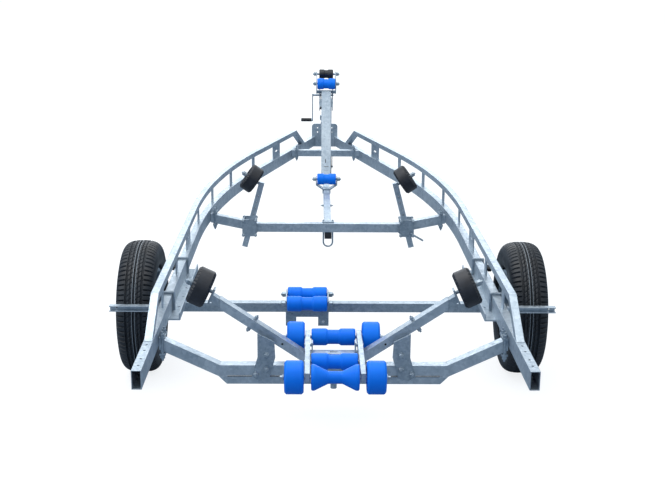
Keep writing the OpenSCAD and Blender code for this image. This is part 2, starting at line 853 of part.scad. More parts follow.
module cradle_frame() {
    bar_y = cradle_rear_y - 28;
    bar_l = cradle_front_y + 18 - bar_y;
    end_x = cradle_bar_x + cradle_bar_w / 2 + 6 + cradle_wheel_w;
    color(zinc) difference() {
        union() {
            for (s = [-1, 1])
                translate([s * cradle_bar_x - cradle_bar_w / 2, bar_y, pivot_z - cradle_bar_h / 2])
                    cube([cradle_bar_w, bar_l, cradle_bar_h]);
            for (y = [cradle_front_y, cradle_rear_y]) translate([0, y, cradle_axle_z]) {
                rod_x(spindle_r, 2 * end_x + 10);
                for (s = [-1, 1]) translate([s * (end_x + 2), 0, 0]) rod_x(13, 4);
            }
            translate([0, cradle_mid_y, cradle_axle_z]) rod_x(spindle_r, 2 * cradle_bar_x + 30);
        }
        both_sides() translate([cradle_bar_x, v_beam_y, pivot_z]) rod_x(spindle_r + fit, cradle_bar_w + 4);
    }
}

// Plain wheel about X with rounded shoulders and a shallow dish each side
module cradle_wheel() {
    r = cradle_wheel_d / 2;
    w = cradle_wheel_w / 2;
    difference() {
        turned_x([[0, -w], [18, -w], [20, -w + 8], [r - 18, -w + 8], [r - 14, -w], [r - 8, -w], [r, -w + 8],
            [r, w - 8], [r - 8, w], [r - 14, w], [r - 18, w - 8], [20, w - 8], [18, w], [0, w]]);
        rod_x(spindle_r + fit, 4 * w);
    }
}

module placed_cradle_wheel(side, y) {
    color(roller_blue) translate([side * cradle_wheel_x, y, cradle_axle_z]) cradle_wheel();
}

module cradle_wheel_front_left() { placed_cradle_wheel(-1, cradle_front_y); }
module cradle_wheel_front_right() { placed_cradle_wheel(1, cradle_front_y); }
module cradle_wheel_rear_left() { placed_cradle_wheel(-1, cradle_rear_y); }
module cradle_wheel_rear_right() { placed_cradle_wheel(1, cradle_rear_y); }

module cradle_roller_front() {
    color(roller_blue) translate([0, cradle_front_y, cradle_axle_z])
        waisted_roller(keel_d / 2, keel_d / 2 - 6, keel_l, spindle_r + fit);
}

module cradle_roller_middle() {
    color(roller_blue) translate([0, cradle_mid_y, cradle_axle_z])
        waisted_roller(keel_d / 2 - 2, keel_d / 2 - 8, keel_l, spindle_r + fit);
}

// Keel roller with two cones that guide the keel to its neck
module cradle_roller_rear() {
    r = 55;
    l = keel_l / 2;
    color(roller_blue) translate([0, cradle_rear_y, cradle_axle_z]) difference() {
        turned_x([[0, -l], [r - 4, -l], [r, -l + 4], [r, -l + 14], [26, -28], [26, 28], [r, l - 14],
            [r, l - 4], [r - 4, l], [0, l]]);
        rod_x(spindle_r + fit, 3 * l);
    }
}

// ---------- Keel rollers at the axle ----------

module mid_keel_bracket() {
    half = mid_roller_l / 2 + 8;
    top = wheel_z + axle_s / 2 + gap;
    back = axle_s / 2 + gap;
    color(zinc_dull) translate([mid_x, axle_y, 0]) difference() {
        union() {
            for (s = [-1, 1]) translate([s * (half - 3) - 3, mid_rear_y - axle_y - 22, top])
                cube([6, mid_front_y - mid_rear_y + 44, mid_roller_z - top + 20]);
            for (y = [mid_front_y, mid_rear_y]) translate([0, y - axle_y, mid_roller_z])
                rod_x(spindle_r, 2 * half + 14);
            translate([-half, -back - 6, top]) cube([2 * half, 2 * back + 12, 6]);
            translate([-half, -back - 6, wheel_z - 92]) cube([2 * half, 6, 92 + axle_s / 2 + 2]);
            translate([-half, back, wheel_z - 45]) cube([2 * half, 6, 45 + axle_s / 2 + 2]);
            for (s = [-1, 1]) translate([s * 76, 0, wheel_z - axle_s / 2 - 10]) rod_y(6, 2 * back + 34);
        }
        translate([-54, -back - 20, wheel_z - 100]) cube([108, 40, 54]);
    }
}

module mid_roller_front() {
    color(roller_blue) translate([mid_x, mid_front_y, mid_roller_z])
        waisted_roller(37.5, 32, mid_roller_l, spindle_r + fit);
}

module mid_roller_rear() {
    color(roller_blue) translate([mid_x, mid_rear_y, mid_roller_z])
        waisted_roller(37.5, 32, mid_roller_l, spindle_r + fit);
}

// ---------- Road wheels ----------

// Outline of half a tyre section, in by d from the outer skin
function tyre_skin(d) =
    let (mid = (tyre_d + rim_d) / 4, hh = (tyre_d - rim_d) / 4 - d, hw = tyre_w / 2 - d)
    [for (a = [-126:12:126]) [mid + hh * sign(cos(a)) * pow(abs(cos(a)), 0.6),
        hw * sign(sin(a)) * pow(abs(sin(a)), 0.75)]];

module tyre() {
    bead_out = tyre_w / 2 - 28;
    bead_in = bead_out - 16;
    turned_x(concat([[rim_d / 2, -bead_out]], tyre_skin(0), [[rim_d / 2, bead_out], [rim_d / 2, bead_in]],
        reversed(tyre_skin(13)), [[rim_d / 2, -bead_in]]), 96);
}

module rim() {
    r = rim_d / 2 - gap;
    f = tyre_w / 2 - 15;
    difference() {
        turned_x([[17, -45], [hub_r - 4, -45], [hub_r, -40], [hub_r, 12], [r - 30, 30], [r - 8, 26],
            [r - 8, -f], [r + 8, -f], [r + 8, -f + 4], [r, -f + 4], [r, f - 4], [r + 8, f - 4],
            [r + 8, f], [r - 8, f], [r - 8, 34], [r - 28, 38], [hub_r, 20], [hub_r, 36], [30, 44],
            [26, 62], [0, 62], [0, 50], [17, 50]], 96);
        rod_x(stub_r + fit, 98);
        for (a = [0:45:315]) rotate([a, 0, 0]) translate([20, 0, rim_d / 2 - 56]) rod_x(11, 60);
    }
}

module on_right_wheel() {
    translate([track / 2, axle_y, wheel_z]) children();
}

module wheel_rim_left() {
    color(zinc_dull) mirror([1, 0, 0]) on_right_wheel() rim();
}

module wheel_rim_right() {
    color(zinc_dull) on_right_wheel() rim();
}

module tyre_left() {
    color(rubber) mirror([1, 0, 0]) on_right_wheel() tyre();
}

module tyre_right() {
    color(rubber) on_right_wheel() tyre();
}

// ---------- Jockey wheel ----------

module jockey_clamp() {
    z = drawbar_top(jockey_y) - drawbar_s / 2;
    r = jockey_tube_r + 4;
    color(zinc_dull) difference() {
        union() {
            translate([jockey_x, jockey_y, z - 30]) cylinder(h = 60, r = r);
            translate([drawbar_s / 2 + gap, jockey_y - 32, z - 30]) cube([10, 64, 60]);
        }
        translate([jockey_x, jockey_y, z - 40]) cylinder(h = 80, r = jockey_tube_r + gap);
    }
}

module jockey_tube() {
    h = jockey_top_z - jockey_tube_z;
    color(zinc) translate([jockey_x, jockey_y, jockey_tube_z]) {
        difference() {
            cylinder(h = h, r = jockey_tube_r);
            translate([0, 0, -1]) cylinder(h = h - 4, r = jockey_tube_r - jockey_tube_wall);
        }
        translate([-7, 0, h - 1]) cube([14, 95, 7]);
        translate([0, 86, h]) cylinder(h = 55, r = 9);
    }
}

module jockey_leg() {
    z0 = jockey_crown_z + 12 + gap;
    color(zinc_dull) translate([jockey_x, jockey_y, 0]) {
        translate([0, 0, z0]) cylinder(h = 540 - z0, r = jockey_leg_r);
        translate([0, 0, jockey_crown_z - 6]) cylinder(h = 30, r = jockey_pin_r);
    }
}

module jockey_fork() {
    cheek = jockey_wheel_w / 2 + 3;
    back = -jockey_trail - 18;
    axle_z = jockey_wheel_d / 2;
    color(zinc_dull) translate([jockey_x, jockey_y, 0]) difference() {
        union() {
            translate([-cheek - 5, back, jockey_crown_z]) cube([2 * cheek + 10, 22 - back, 12]);
            for (x = [-cheek - 5, cheek]) translate([x, back, axle_z - 16])
                cube([5, 36, jockey_crown_z - axle_z + 17]);
            translate([0, -jockey_trail, axle_z]) rod_x(7, 2 * cheek + 22);
        }
        translate([0, 0, jockey_crown_z - 20]) cylinder(h = 60, r = jockey_pin_r + fit);
    }
}

module jockey_wheel() {
    r = jockey_wheel_d / 2;
    w = jockey_wheel_w / 2;
    color(rubber) translate([jockey_x, jockey_y - jockey_trail, r]) difference() {
        turned_x([[0, -w], [16, -w], [18, -w + 10], [r - 30, -w + 10], [r - 26, -w + 2], [r - 8, -w + 2],
            [r, -w + 10], [r, w - 10], [r - 8, w - 2], [r - 26, w - 2], [r - 30, w - 10], [18, w - 10],
            [16, w], [0, w]]);
        rod_x(7 + fit, 4 * w);
    }
}

rail_left();
rail_right();
guard_rail_left();
guard_rail_right();
rear_crossbeam();
rear_stiffener();
front_crossbeam();
nose_crossbeam();
nose_bracket();
drawbar();
drawbar_cap();
drawbar_ubolt();
coupling_head();
coupling_handle();
axle_beam();
axle_plates();
axle_ubolts();
beam_clamps();
mudguard_stays();
winch_post();
winch_frame();
bow_bracket();
front_keel_bracket();
side_post_left();
side_post_right();
side_post_clamps();
mid_keel_bracket();
v_beam();
v_beam_brackets();
arm_extension_left();
arm_extension_right();
jockey_clamp();
jockey_tube();
wheel_rim_left();
wheel_rim_right();
tyre_left();
tyre_right();
cradle_frame();
cradle_wheel_front_left();
cradle_wheel_front_right();
cradle_wheel_rear_left();
cradle_wheel_rear_right();
cradle_roller_front();
cradle_roller_middle();
cradle_roller_rear();
mid_roller_front();
mid_roller_rear();
front_keel_roller();
bow_roller();
bow_stop_roller();
front_side_roller_left();
front_side_roller_right();
rear_side_roller_left();
rear_side_roller_right();
winch_drum();
winch_crank();
jockey_leg();
jockey_fork();
jockey_wheel();
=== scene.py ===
# %% [markdown]
# # A galvanised boat trailer
# The trailer is a bolted frame of square steel tube, dipped in molten zinc, with rubber and plastic
# rollers that carry the hull. The frame file already holds every part at its true place, so this
# lesson only adds what the eye asks for next: finishes, tread, nuts, gear teeth and small fittings.
# All lengths are in metres.

# %% Load the frame
import json
import math

import bmesh
import bpy
import numpy as np
from mathutils import Matrix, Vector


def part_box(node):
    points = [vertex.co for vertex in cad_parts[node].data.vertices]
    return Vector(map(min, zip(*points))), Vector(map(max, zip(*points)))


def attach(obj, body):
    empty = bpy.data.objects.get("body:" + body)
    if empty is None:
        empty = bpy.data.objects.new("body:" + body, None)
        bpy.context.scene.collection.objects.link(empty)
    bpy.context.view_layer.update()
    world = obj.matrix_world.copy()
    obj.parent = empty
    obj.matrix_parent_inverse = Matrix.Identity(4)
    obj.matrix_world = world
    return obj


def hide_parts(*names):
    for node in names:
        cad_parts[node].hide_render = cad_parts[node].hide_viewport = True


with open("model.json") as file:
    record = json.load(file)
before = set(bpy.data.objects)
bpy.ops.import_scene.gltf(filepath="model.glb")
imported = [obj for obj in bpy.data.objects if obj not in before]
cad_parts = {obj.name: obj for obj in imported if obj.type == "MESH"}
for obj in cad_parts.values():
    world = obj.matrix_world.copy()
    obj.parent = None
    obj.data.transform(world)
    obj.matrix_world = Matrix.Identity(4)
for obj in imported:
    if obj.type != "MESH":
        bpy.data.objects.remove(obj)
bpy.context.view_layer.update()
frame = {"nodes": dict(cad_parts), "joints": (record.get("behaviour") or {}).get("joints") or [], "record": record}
RECORD = frame["record"]
JOINTS = {joint["name"]: joint for joint in frame["joints"]}

# %% [markdown]
# Every new piece below is a surface computed as whole arrays. Two helpers turn arrays into
# meshes: one numbers the four-sided faces of a grid, the other writes points and faces into
# Blender, points all faces outwards and hands the piece to the body that carries it. The rest
# read places from the frame and turn three directions and a place into a matrix.


# %% Helpers for places and meshes
SHARP_FROM = math.radians(35)


def place(joint):
    """Centre and unit axis of a joint of the frame, in metres."""
    axis = np.array(JOINTS[joint]["axis"], float)
    return np.array(JOINTS[joint]["pos_m"], float), axis / np.linalg.norm(axis)


def middle(node, axis):
    """Half way between the lowest and the highest corner of a node, along one axis."""
    low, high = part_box(node)
    return (low[axis] + high[axis]) / 2


def basis(axis):
    """Three unit vectors as rows: two across the axis, then the axis itself."""
    axis = np.asarray(axis, float)
    side = np.cross(axis, [0, 0, 1.0] if abs(axis[2]) < 0.9 else [1.0, 0, 0])
    side /= np.linalg.norm(side)
    return np.array([side, np.cross(axis, side), axis])


def facing(across, over, back, spot):
    """The matrix of an object at spot whose own axes point along three given directions."""
    return Matrix([*np.column_stack([across, over, back, spot]).tolist(), [0, 0, 0, 1]])


def ring_quads(rows, cols, wrap_rows):
    """Faces of a grid whose columns close on themselves: point (i, j) is joined to
    (i, j+1), (i+1, j+1) and (i+1, j), with j counted round."""
    i = np.arange(rows if wrap_rows else rows - 1)[:, None]
    j = np.arange(cols)[None, :]
    a = i * cols + j
    b = i * cols + (j + 1) % cols
    down = ((i + 1) % rows) * cols
    return np.stack([a, b, down + (j + 1) % cols, down + j], axis=-1).reshape(-1, 4)


def piece(name, points, faces, surface, body, stands_for=()):
    """A mesh object made from arrays, faces outwards, that rides on a body."""
    mesh = bpy.data.meshes.new(name)
    mesh.from_pydata(np.asarray(points).tolist(), [], [list(map(int, face)) for face in faces])
    shape = bmesh.new()
    shape.from_mesh(mesh)
    bmesh.ops.recalc_face_normals(shape, faces=shape.faces)
    shape.to_mesh(mesh)
    shape.free()
    mesh.polygons.foreach_set("use_smooth", np.full(len(mesh.polygons), True))
    mesh.set_sharp_from_angle(angle=SHARP_FROM)
    mesh.materials.append(surface)
    obj = bpy.data.objects.new(name, mesh)
    bpy.context.scene.collection.objects.link(obj)
    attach(obj, body)
    if stands_for:
        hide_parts(*stands_for)
    return obj


# %% [markdown]
# The camera stands behind the trailer, a little left of its middle and just above head height,
# and looks down the frame towards the winch. Its sideways tilt is half a degree.

# %% Camera
CAMERA_PLACE = (-0.092, -7.272, 2.051)
CAMERA_LENS = 59.55
CAMERA_YAW = math.radians(1.022)
CAMERA_PITCH = math.radians(15.435)
CAMERA_ROLL = math.radians(0.54)

ahead = np.array([math.sin(CAMERA_YAW) * math.cos(CAMERA_PITCH),
                  math.cos(CAMERA_YAW) * math.cos(CAMERA_PITCH), -math.sin(CAMERA_PITCH)])
level = np.array([math.cos(CAMERA_YAW), -math.sin(CAMERA_YAW), 0])
above = np.cross(level, ahead)
right = math.cos(CAMERA_ROLL) * level + math.sin(CAMERA_ROLL) * above
upward = math.cos(CAMERA_ROLL) * above - math.sin(CAMERA_ROLL) * level
camera = bpy.data.objects.new("camera", bpy.data.cameras.new("camera"))
camera.data.lens = CAMERA_LENS
camera.data.sensor_width = 36
camera.matrix_world = facing(right, upward, -ahead, CAMERA_PLACE)
bpy.context.scene.collection.objects.link(camera)
bpy.context.scene.camera = camera
print("camera", CAMERA_PLACE, "lens", CAMERA_LENS)

# %% [markdown]
# Zinc is a mirror with a bad memory: it shows whatever stands round it, blurred. The light
# therefore matters more than the paint. A bright sky overhead whitens every top face, and a
# cooler, darker band near the horizon gives the upright faces their blue-grey. The eye itself
# sees plain white instead: sky and floor each mix in a white that only camera rays meet.

# %% Floor and light
scene = bpy.context.scene
scene.view_settings.view_transform = "Standard"
world = bpy.data.worlds.new("studio")
scene.world = world
world.use_nodes = True
air = world.node_tree
air.nodes.clear()
direction = air.nodes.new("ShaderNodeTexCoord")
height = air.nodes.new("ShaderNodeSeparateXYZ")
sky = air.nodes.new("ShaderNodeValToRGB")
glow = air.nodes.new("ShaderNodeBackground")
into = air.nodes.new("ShaderNodeOutputWorld")
sky.color_ramp.elements[0].position = 0.02
sky.color_ramp.elements[0].color = (0.1, 0.18, 0.3, 1)
sky.color_ramp.elements[1].position = 0.55
sky.color_ramp.elements[1].color = (0.93, 0.97, 1.0, 1)
glow.inputs["Strength"].default_value = 1.0
air.links.new(direction.outputs["Generated"], height.inputs[0])
air.links.new(height.outputs["Z"], sky.inputs["Fac"])
air.links.new(sky.outputs["Color"], glow.inputs["Color"])
backdrop = air.nodes.new("ShaderNodeBackground")
seen_air = air.nodes.new("ShaderNodeLightPath")
pick = air.nodes.new("ShaderNodeMixShader")
air.links.new(seen_air.outputs["Is Camera Ray"], pick.inputs[0])
air.links.new(glow.outputs[0], pick.inputs[1])
air.links.new(backdrop.outputs[0], pick.inputs[2])
air.links.new(pick.outputs[0], into.inputs[0])
backdrop.inputs["Color"].default_value = (1, 1, 1, 1)


def soft_light(name, spot, target, size, power, colour):
    """A square lamp at spot that faces target; the camera does not see it."""
    lamp = bpy.data.lights.new(name, "AREA")
    lamp.size = size
    lamp.energy = power
    lamp.color = colour
    obj = bpy.data.objects.new(name, lamp)
    away = np.subtract(spot, target)
    obj.matrix_world = facing(*basis(away / np.linalg.norm(away)), spot)
    scene.collection.objects.link(obj)
    obj.visible_camera = False


soft_light("overhead", (-1.5, -1.0, 7.0), (0, -0.5, 0.3), 7.0, 300, (1.0, 0.99, 0.97))
soft_light("left_fill", (-7.0, -5.0, 3.0), (0, -1.5, 0.4), 3.0, 90, (0.8, 0.9, 1.0))
soft_light("sky_ahead", (0.0, 11.0, 4.6), (0, 0, 0.3), 8.0, 330, (0.95, 0.98, 1.0))

FLOOR_REACH = 60.0
floor_mesh = bpy.data.meshes.new("floor")
floor_mesh.from_pydata([(x * FLOOR_REACH, y * FLOOR_REACH, 0) for x, y in ((-1, -1), (1, -1), (1, 1), (-1, 1))],
                       [], [(0, 1, 2, 3)])
floor = bpy.data.objects.new("floor", floor_mesh)
scene.collection.objects.link(floor)
floor_finish = bpy.data.materials.new("floor_white")
floor_finish.use_nodes = True
floor_tree = floor_finish.node_tree
floor_tree.nodes["Principled BSDF"].inputs["Base Color"].default_value = (0.2, 0.25, 0.31, 1)
floor_tree.nodes["Principled BSDF"].inputs["Roughness"].default_value = 0.9
paper = floor_tree.nodes.new("ShaderNodeBsdfDiffuse")
paper.inputs["Color"].default_value = (0.25, 0.25, 0.25, 1)
shine = floor_tree.nodes.new("ShaderNodeEmission")
shine.inputs["Color"].default_value = (0.93, 0.95, 0.97, 1)
shine.inputs["Strength"].default_value = 0.87
white = floor_tree.nodes.new("ShaderNodeAddShader")
seen = floor_tree.nodes.new("ShaderNodeLightPath")
choice = floor_tree.nodes.new("ShaderNodeMixShader")
floor_tree.links.new(paper.outputs[0], white.inputs[0])
floor_tree.links.new(shine.outputs[0], white.inputs[1])
floor_tree.links.new(seen.outputs["Is Camera Ray"], choice.inputs[0])
floor_tree.links.new(floor_tree.nodes["Principled BSDF"].outputs[0], choice.inputs[1])
floor_tree.links.new(white.outputs[0], choice.inputs[2])
floor_tree.links.new(choice.outputs[0], floor_tree.nodes["Material Output"].inputs["Surface"])
floor_mesh.materials.append(floor_finish)

# %% [markdown]
# Galvanised steel is covered in frozen zinc crystals, each a slightly different grey, under a
# cloudy film. Two shader groups do the work. "zinc_skin" draws crystals with a cell pattern and
# clouds with noise. "worn_film" adds dust and rubbed patches, and rubber, plastic and tyres all
# use it. Both give out only a colour, a roughness and a height.


# %% Shader groups
def group(name, inputs, outputs):
    """An empty shader group with named sockets, its input node and its output node."""
    tree = bpy.data.node_groups.new(name, "ShaderNodeTree")
    for label, kind, value in inputs:
        socket = tree.interface.new_socket(name=label, in_out="INPUT", socket_type=kind)
        socket.default_value = value
    for label, kind in outputs:
        tree.interface.new_socket(name=label, in_out="OUTPUT", socket_type=kind)
    return tree, tree.nodes.new("NodeGroupInput"), tree.nodes.new("NodeGroupOutput")


def noise(tree, coordinates, scale, detail=4.0, rough=0.55):
    """A noise texture on the given coordinates."""
    node = tree.nodes.new("ShaderNodeTexNoise")
    node.inputs["Scale"].default_value = scale
    node.inputs["Detail"].default_value = detail
    node.inputs["Roughness"].default_value = rough
    tree.links.new(coordinates, node.inputs["Vector"])
    return node.outputs["Fac"]


def curve(tree, value, low, high, out_low=0.0, out_high=1.0):
    """Maps value from low..high to out_low..out_high and holds it at the ends."""
    node = tree.nodes.new("ShaderNodeMapRange")
    for label, number in (("From Min", low), ("From Max", high), ("To Min", out_low), ("To Max", out_high)):
        node.inputs[label].default_value = number
    tree.links.new(value, node.inputs["Value"])
    return node.outputs["Result"]


def blend_colour(tree, factor, first, second, mode="MIX"):
    """Mixes two colours, each a socket or a fixed colour, by a factor."""
    node = tree.nodes.new("ShaderNodeMix")
    node.data_type = "RGBA"
    node.blend_type = mode
    for socket, value in ((node.inputs["Factor"], factor), (node.inputs["A"], first),
                          (node.inputs["B"], second)):
        if isinstance(value, bpy.types.NodeSocket):
            tree.links.new(value, socket)
        else:
            socket.default_value = value
    return node.outputs["Result"]


def sums(tree, operation, first, second):
    """One Math node on two sockets or numbers."""
    node = tree.nodes.new("ShaderNodeMath")
    node.operation = operation
    for socket, value in zip(node.inputs, (first, second)):
        if isinstance(value, bpy.types.NodeSocket):
            tree.links.new(value, socket)
        else:
            socket.default_value = value
    return node.outputs[0]


COLOUR, FLOAT, VECTOR = "NodeSocketColor", "NodeSocketFloat", "NodeSocketVector"

zinc_skin, given, out = group(
    "zinc_skin",
    [("Place", VECTOR, (0, 0, 0)), ("Crystals", FLOAT, 90.0), ("Pale", COLOUR, (0.7, 0.76, 0.8, 1)),
     ("Deep", COLOUR, (0.42, 0.5, 0.57, 1)), ("Dull", FLOAT, 0.4)],
    [("Color", COLOUR), ("Roughness", FLOAT), ("Height", FLOAT)])
cells = zinc_skin.nodes.new("ShaderNodeTexVoronoi")
cells.feature = "F1"
zinc_skin.links.new(given.outputs["Place"], cells.inputs["Vector"])
zinc_skin.links.new(given.outputs["Crystals"], cells.inputs["Scale"])
shade = zinc_skin.nodes.new("ShaderNodeSeparateColor")
zinc_skin.links.new(cells.outputs["Color"], shade.inputs[0])
clouds = noise(zinc_skin, given.outputs["Place"], 6.0, 6.0)
streaks = noise(zinc_skin, given.outputs["Place"], 38.0, 3.0)
tone = sums(zinc_skin, "ADD", sums(zinc_skin, "MULTIPLY", shade.outputs[0], 0.35),
            sums(zinc_skin, "ADD", curve(zinc_skin, clouds, 0.3, 0.7, 0.0, 0.45),
                 curve(zinc_skin, streaks, 0.3, 0.7, 0.0, 0.2)))
zinc_skin.links.new(blend_colour(zinc_skin, tone, given.outputs["Deep"], given.outputs["Pale"]),
                    out.inputs["Color"])
speckle = sums(zinc_skin, "MULTIPLY", sums(zinc_skin, "SUBTRACT", shade.outputs[1], 0.5), 0.2)
zinc_skin.links.new(sums(zinc_skin, "ADD", given.outputs["Dull"], speckle), out.inputs["Roughness"])
zinc_skin.links.new(sums(zinc_skin, "ADD", sums(zinc_skin, "MULTIPLY", streaks, 0.6),
                         sums(zinc_skin, "MULTIPLY", shade.outputs[2], 0.15)), out.inputs["Height"])

worn_film, given, out = group(
    "worn_film",
    [("Place", VECTOR, (0, 0, 0)), ("Base", COLOUR, (0.03, 0.03, 0.03, 1)),
     ("Dust", COLOUR, (0.3, 0.3, 0.3, 1)), ("Amount", FLOAT, 0.3), ("Sheen spots", FLOAT, 0.5)],
    [("Color", COLOUR), ("Roughness", FLOAT), ("Height", FLOAT)])
patches = noise(worn_film, given.outputs["Place"], 11.0, 6.0, 0.65)
grit = noise(worn_film, given.outputs["Place"], 320.0, 3.0, 0.6)
cover = sums(worn_film, "MULTIPLY", curve(worn_film, patches, 0.42, 0.72), given.outputs["Amount"])
worn_film.links.new(blend_colour(worn_film, cover, given.outputs["Base"], given.outputs["Dust"]),
                    out.inputs["Color"])
worn_film.links.new(sums(worn_film, "ADD", given.outputs["Sheen spots"],
                         curve(worn_film, patches, 0.3, 0.7, -0.1, 0.15)), out.inputs["Roughness"])
worn_film.links.new(sums(worn_film, "ADD", sums(worn_film, "MULTIPLY", grit, 0.5), patches),
                    out.inputs["Height"])
print("groups", [tree.name for tree in bpy.data.node_groups])

# %% [markdown]
# Each finish is one material: its Principled shader, a group with this finish's own values, and a
# bump from the group's height. Steel also takes a bevel node, which rounds the look of the sharp
# folded edges so that they catch the light as real tube does.


# %% Finishes
def finish(name, tree, values, metallic, bump, distance, bevel=0.0, coat=0.0):
    """A material whose colour, roughness and bump come from one group on Object coordinates."""
    material = bpy.data.materials.new(name)
    material.use_nodes = True
    nodes, links = material.node_tree.nodes, material.node_tree.links
    shader = nodes["Principled BSDF"]
    where = nodes.new("ShaderNodeTexCoord")
    skin = nodes.new("ShaderNodeGroup")
    skin.node_tree = tree
    for label, value in values.items():
        skin.inputs[label].default_value = value
    relief = nodes.new("ShaderNodeBump")
    relief.inputs["Strength"].default_value = bump
    relief.inputs["Distance"].default_value = distance
    links.new(where.outputs["Object"], skin.inputs["Place"])
    links.new(skin.outputs["Color"], shader.inputs["Base Color"])
    links.new(skin.outputs["Roughness"], shader.inputs["Roughness"])
    links.new(skin.outputs["Height"], relief.inputs["Height"])
    links.new(relief.outputs["Normal"], shader.inputs["Normal"])
    shader.inputs["Metallic"].default_value = metallic
    shader.inputs["Coat Weight"].default_value = coat
    if bevel:
        edge = nodes.new("ShaderNodeBevel")
        edge.samples = 4
        edge.inputs["Radius"].default_value = bevel
        links.new(edge.outputs["Normal"], relief.inputs["Normal"])
    return material


zinc = finish("zinc_tube", zinc_skin,
              {"Crystals": 70.0, "Pale": (0.62, 0.7, 0.77, 1), "Deep": (0.28, 0.36, 0.44, 1), "Dull": 0.4},
              0.75, 0.12, 0.002, bevel=0.003)
dull_zinc = finish("zinc_fittings", zinc_skin,
                   {"Crystals": 110.0, "Pale": (0.5, 0.58, 0.65, 1), "Deep": (0.2, 0.27, 0.34, 1),
                    "Dull": 0.44}, 0.75, 0.15, 0.002, bevel=0.0015)
dark_bolts = finish("bolt_steel", zinc_skin,
                    {"Crystals": 200.0, "Pale": (0.34, 0.36, 0.38, 1), "Deep": (0.1, 0.11, 0.12, 1),
                     "Dull": 0.35}, 0.85, 0.05, 0.001)
blue = finish("roller_blue", worn_film,
              {"Base": (0.0, 0.17, 0.86, 1), "Dust": (0.0, 0.24, 0.9, 1), "Amount": 0.3, "Sheen spots": 0.42},
              0.0, 0.06, 0.001)
blue.node_tree.nodes["Principled BSDF"].inputs["Specular IOR Level"].default_value = 0.2
black_rubber = finish("roller_black", worn_film,
                      {"Base": (0.008, 0.01, 0.016, 1), "Dust": (0.035, 0.045, 0.065, 1), "Amount": 0.5,
                       "Sheen spots": 0.45}, 0.0, 0.08, 0.001)
tyre_rubber = finish("tyre_rubber", worn_film,
                     {"Base": (0.006, 0.009, 0.014, 1), "Dust": (0.018, 0.028, 0.042, 1), "Amount": 0.6,
                      "Sheen spots": 0.5}, 0.0, 0.1, 0.001)
black_plastic = finish("cap_plastic", worn_film,
                       {"Base": (0.01, 0.01, 0.012, 1), "Dust": (0.05, 0.05, 0.06, 1), "Amount": 0.3,
                        "Sheen spots": 0.4}, 0.0, 0.05, 0.001)


def painted_tread_highlights(material, middle_x, apart, half_width, pale):
    """Painted highlights: two pale lines round a tyre, 1 where | |X| - x | < half width, for x = middle -+ apart.
    """
    nodes, links = material.node_tree.nodes, material.node_tree.links
    shader, skin = nodes["Principled BSDF"], nodes["Group"]
    split, size, mixer = (nodes.new("ShaderNode" + kind) for kind in ("SeparateXYZ", "Math", "Mix"))
    size.operation = "ABSOLUTE"
    links.new(nodes["Texture Coordinate"].outputs["Object"], split.inputs[0])
    links.new(split.outputs["X"], size.inputs[0])
    marks = []
    for x in (middle_x - apart, middle_x + apart):
        mark = nodes.new("ShaderNodeMath")
        mark.operation = "COMPARE"
        mark.inputs[1].default_value, mark.inputs[2].default_value = x, half_width
        links.new(size.outputs[0], mark.inputs[0])
        marks.append(mark)
    either = nodes.new("ShaderNodeMath")
    either.operation = "MAXIMUM"
    mixer.data_type = "RGBA"
    mixer.inputs["B"].default_value = pale
    for n, mark in enumerate(marks):
        links.new(mark.outputs[0], either.inputs[n])
    links.new(either.outputs[0], mixer.inputs["Factor"])
    links.new(skin.outputs["Color"], mixer.inputs["A"])
    links.new(mixer.outputs["Result"], shader.inputs["Base Color"])


# Two pale lines along the tread beside its middle groove: painted highlights on the ribs.
TREAD_HIGHLIGHT_APART, TREAD_HIGHLIGHT_HALF = 0.0067, 0.0009
painted_tread_highlights(tyre_rubber, abs(middle("tyre_left", 0)), TREAD_HIGHLIGHT_APART, TREAD_HIGHLIGHT_HALF, (0.26, 0.3, 0.34, 1))
FINISH_OF_SLOT = {"galvanised": zinc, "galvanised_fittings": dull_zinc, "blue_roller": blue,
                  "black_roller": black_rubber, "tyre": tyre_rubber, "black_cap": black_plastic}

for part in RECORD["subparts"]:
    mesh = frame["nodes"][part["node"]].data
    mesh.materials.clear()
    mesh.materials.append(FINISH_OF_SLOT[part["material_slot"]])
print("finishes on", len(RECORD["subparts"]), "frame parts")

# %% [markdown]
# Every roller and wheel is turned: a closed outline of its section is carried once round its
# axis. A real moulding has no sharp corner, so the outline's corners are rounded first, each with
# a short curve that leaves one edge and meets the next.


# %% Turned pieces
SPINDLE_BORE = 0.0081
RIB_DEPTH, RIB_FROM, RIB_FLOOR = 0.004, 0.0285, 0.058


def rounded(outline, radius, steps=4):
    """Corners of a closed outline rounded: between the points at distance radius before and after
    a corner C, the curve (1-t)^2 P + 2t(1-t) C + t^2 Q."""
    corner = np.asarray(outline, float)
    before, after = np.roll(corner, 1, axis=0), np.roll(corner, -1, axis=0)

    def towards(other):
        way = other - corner
        length = np.linalg.norm(way, axis=1, keepdims=True)
        return corner + way * np.minimum(radius / length, 0.45)

    t = np.linspace(0, 1, steps)[None, :, None]
    bent = ((1 - t) ** 2 * towards(before)[:, None] + 2 * t * (1 - t) * corner[:, None]
            + t ** 2 * towards(after)[:, None])
    return bent.reshape(-1, 2)


def turned_points(outline, centre, axis, turns, ribs=0):
    """Point of outline (along u, radius r) at angle a: centre + u*axis + r*(cos a * side + sin a * up).
    Ribs cut the rim near both ends: r falls by RIB_DEPTH over half of each rib's pitch, where |u| is
    past RIB_FROM and r past RIB_FLOOR."""
    side, up, along = basis(axis)
    a = np.linspace(0, 2 * np.pi, turns, endpoint=False)[:, None, None]
    u, r = outline[None, :, 0:1], outline[None, :, 1:2]
    if ribs:
        notch = ((a * ribs / (2 * np.pi)) % 1 < 0.5) & (np.abs(u) > RIB_FROM) & (r > RIB_FLOOR)
        r = r - RIB_DEPTH * notch
    return (centre + u * along + r * (np.cos(a) * side + np.sin(a) * up)).reshape(-1, 3)


